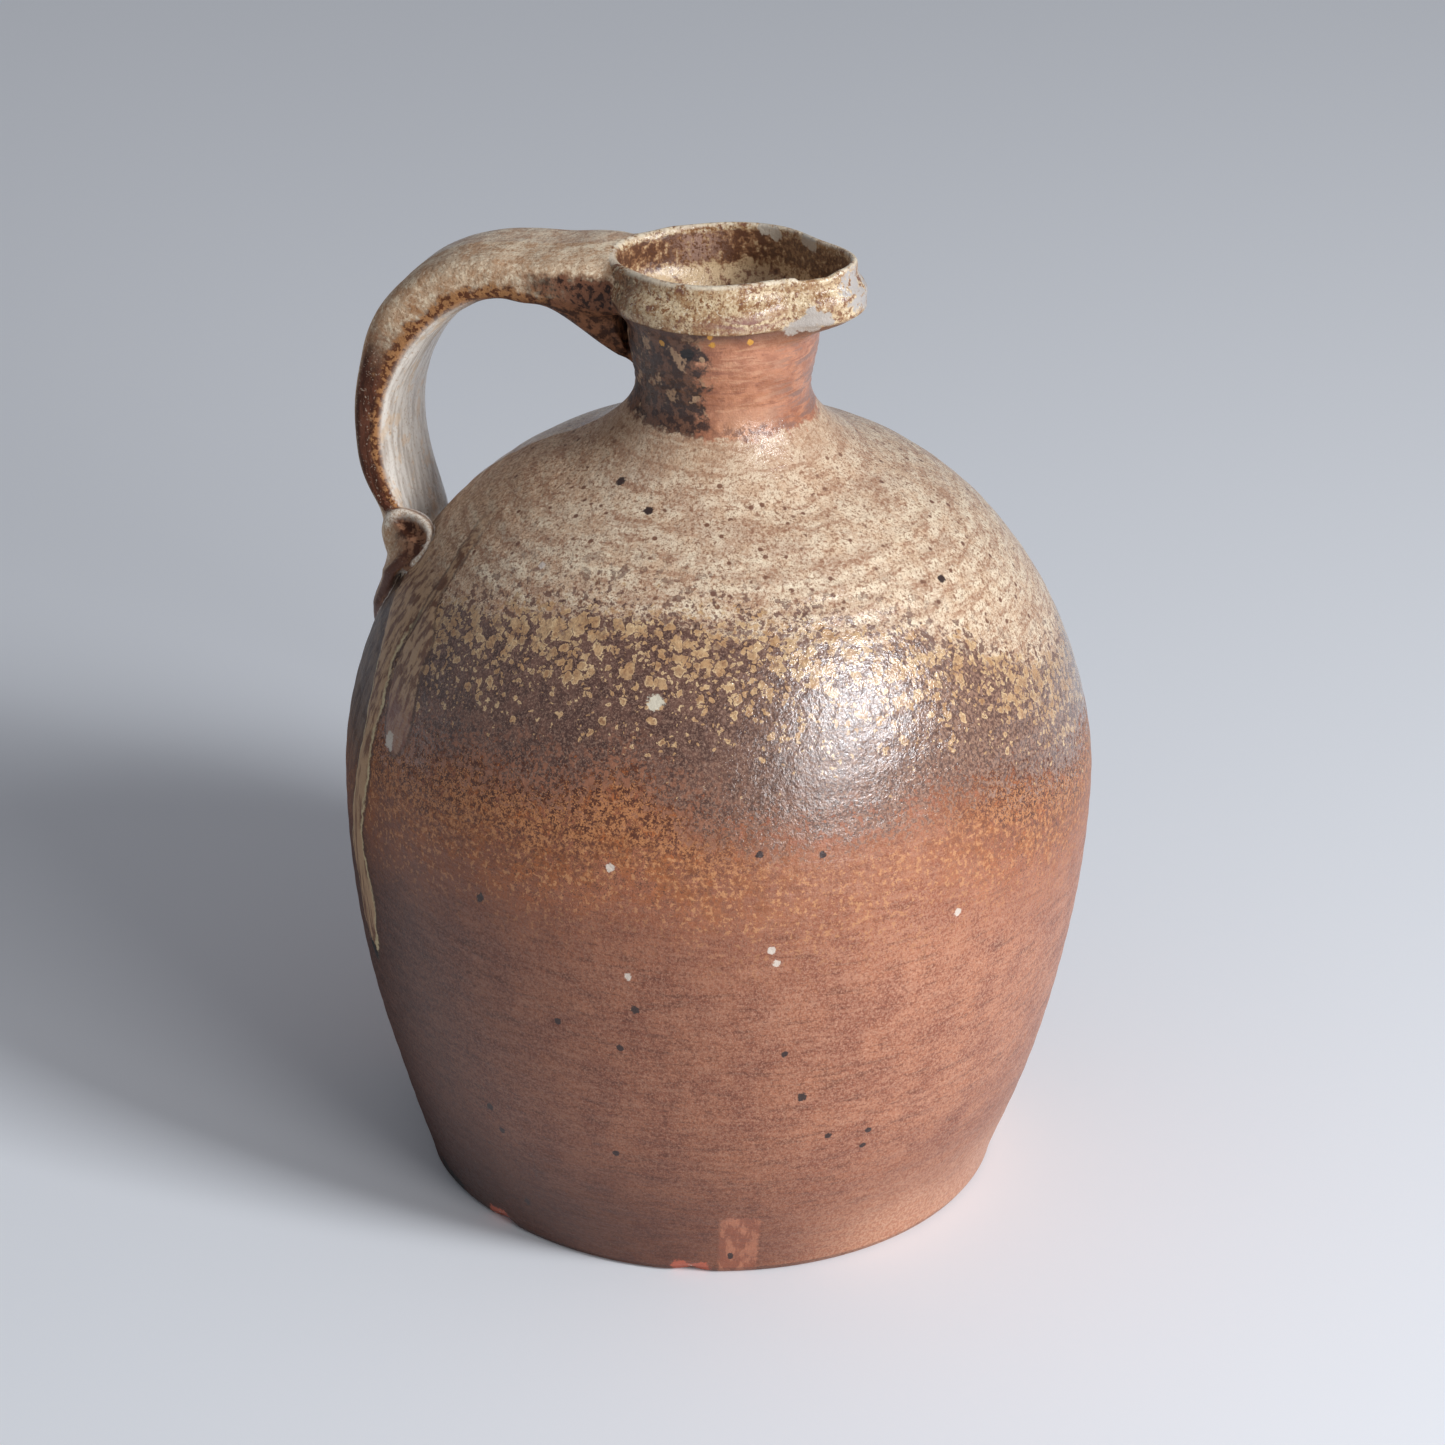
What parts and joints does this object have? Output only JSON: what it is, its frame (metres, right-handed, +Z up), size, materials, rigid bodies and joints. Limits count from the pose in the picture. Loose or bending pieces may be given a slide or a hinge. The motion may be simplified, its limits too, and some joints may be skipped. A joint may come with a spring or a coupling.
{
  "type": "stoneware juglet",
  "caption": "Thrown stoneware juglet with a narrow neck, a pinched pouring lip and a pulled strap handle, ash glazed over bare red clay, for holding and pouring liquids.",
  "frame": {"origin": "centre of the flat foot the juglet stands on, on the axis it was thrown on", "axes": "+Z up along the axis of the body, +X towards the pouring lip, the handle towards -X"},
  "size_m": [0.1851, 0.185, 0.2429],
  "materials": {
    "stoneware": "satin ash glaze running into bare red-brown clay"
  },
  "bodies": {
    "root": {"jug": "stoneware"}
  },
  "joints": []
}
